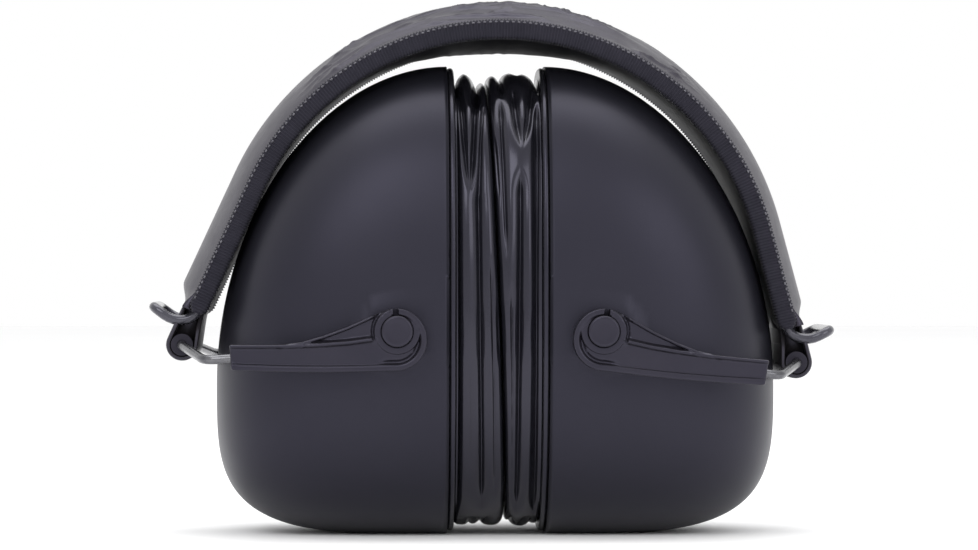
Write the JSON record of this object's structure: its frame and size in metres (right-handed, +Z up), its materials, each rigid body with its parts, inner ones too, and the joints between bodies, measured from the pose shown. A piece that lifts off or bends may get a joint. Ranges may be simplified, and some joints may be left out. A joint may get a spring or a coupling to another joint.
{
  "type": "earmuff hearing protector",
  "caption": "Folding passive earmuff: oval cups with sealing cushions face to face inside a padded headband, on wire stirrups and sliding pivot arms.",
  "frame": {"origin": "centre of the overall box, on the surface that the two cups stand on", "axes": "+X from the left cup to the right cup as seen from the front, -Y towards the front, +Z up to the crown of the headband"},
  "size_m": [0.1487, 0.088, 0.1162],
  "materials": {
    "leatherette": "satin black leatherette",
    "foam": "open-cell dark grey foam",
    "binding_tape": "ribbed woven tape",
    "spring_steel": "drawn wire",
    "loop_leather": "smooth black leather",
    "arm_plastic": "moulded, fine grain",
    "cup_plastic": "moulded, fine grain",
    "plate_plastic": "moulded",
    "gloss_ring": "moulded",
    "cushion_vinyl": "glossy black vinyl skin"
  },
  "bodies": {
    "headband": {"headband_cover": "leatherette", "headband_foam": "foam", "headband_lining": "leatherette", "binding_front": "binding_tape", "binding_rear": "binding_tape", "frame_wire": "spring_steel", "left_end_loop": "loop_leather", "left_loop_bush": "spring_steel", "right_end_loop": "loop_leather", "right_loop_bush": "spring_steel"},
    "left_stirrup": {"left_stirrup_wire": "spring_steel"},
    "left_arms": {"left_front_arm": "arm_plastic", "left_rear_arm": "arm_plastic"},
    "left_cup": {"left_cup_shell": "cup_plastic", "left_pivot_posts": "arm_plastic", "left_mounting_plate": "plate_plastic", "left_cushion_ring": "gloss_ring", "left_cushion_skin": "cushion_vinyl", "left_cushion_foam": "foam", "left_foam_liner": "foam"},
    "right_stirrup": {"right_stirrup_wire": "spring_steel"},
    "right_arms": {"right_front_arm": "arm_plastic", "right_rear_arm": "arm_plastic"},
    "right_cup": {"right_cup_shell": "cup_plastic", "right_pivot_posts": "arm_plastic", "right_mounting_plate": "plate_plastic", "right_cushion_ring": "gloss_ring", "right_cushion_skin": "cushion_vinyl", "right_cushion_foam": "foam", "right_foam_liner": "foam"}
  },
  "joints": [
    {"name": "left_fold", "type": "hinge", "parent": "headband", "child": "left_stirrup", "pos_m": [-0.06805, 0, 0.04123], "axis": [0, 1, 0], "range_deg": [0, 85]},
    {"name": "left_extend", "type": "slide", "parent": "left_stirrup", "child": "left_arms", "axis": [0.9977, 0, 0.0683], "range_m": [0, 0.0125]},
    {"name": "left_cup_turn", "type": "hinge", "parent": "left_arms", "child": "left_cup", "pos_m": [-0.0218, 0, 0.0444], "axis": [0, 1, 0], "range_deg": [-90, 0]},
    {"name": "right_fold", "type": "hinge", "parent": "headband", "child": "right_stirrup", "pos_m": [0.065, 0, 0.03733], "axis": [0, -1, 0], "range_deg": [0, 85]},
    {"name": "right_extend", "type": "slide", "parent": "right_stirrup", "child": "right_arms", "axis": [-0.9869, 0, 0.1616], "range_m": [0, 0.0125]},
    {"name": "right_cup_turn", "type": "hinge", "parent": "right_arms", "child": "right_cup", "pos_m": [0.0218, 0, 0.0444], "axis": [0, -1, 0], "range_deg": [-90, 0]}
  ],
  "couplings": [
    {"joint": "left_extend", "follows": "left_fold", "m_per_rad": 0.0081},
    {"joint": "left_cup_turn", "follows": "left_fold", "ratio": -1},
    {"joint": "right_extend", "follows": "right_fold", "m_per_rad": 0.0081},
    {"joint": "right_cup_turn", "follows": "right_fold", "ratio": -1}
  ]
}
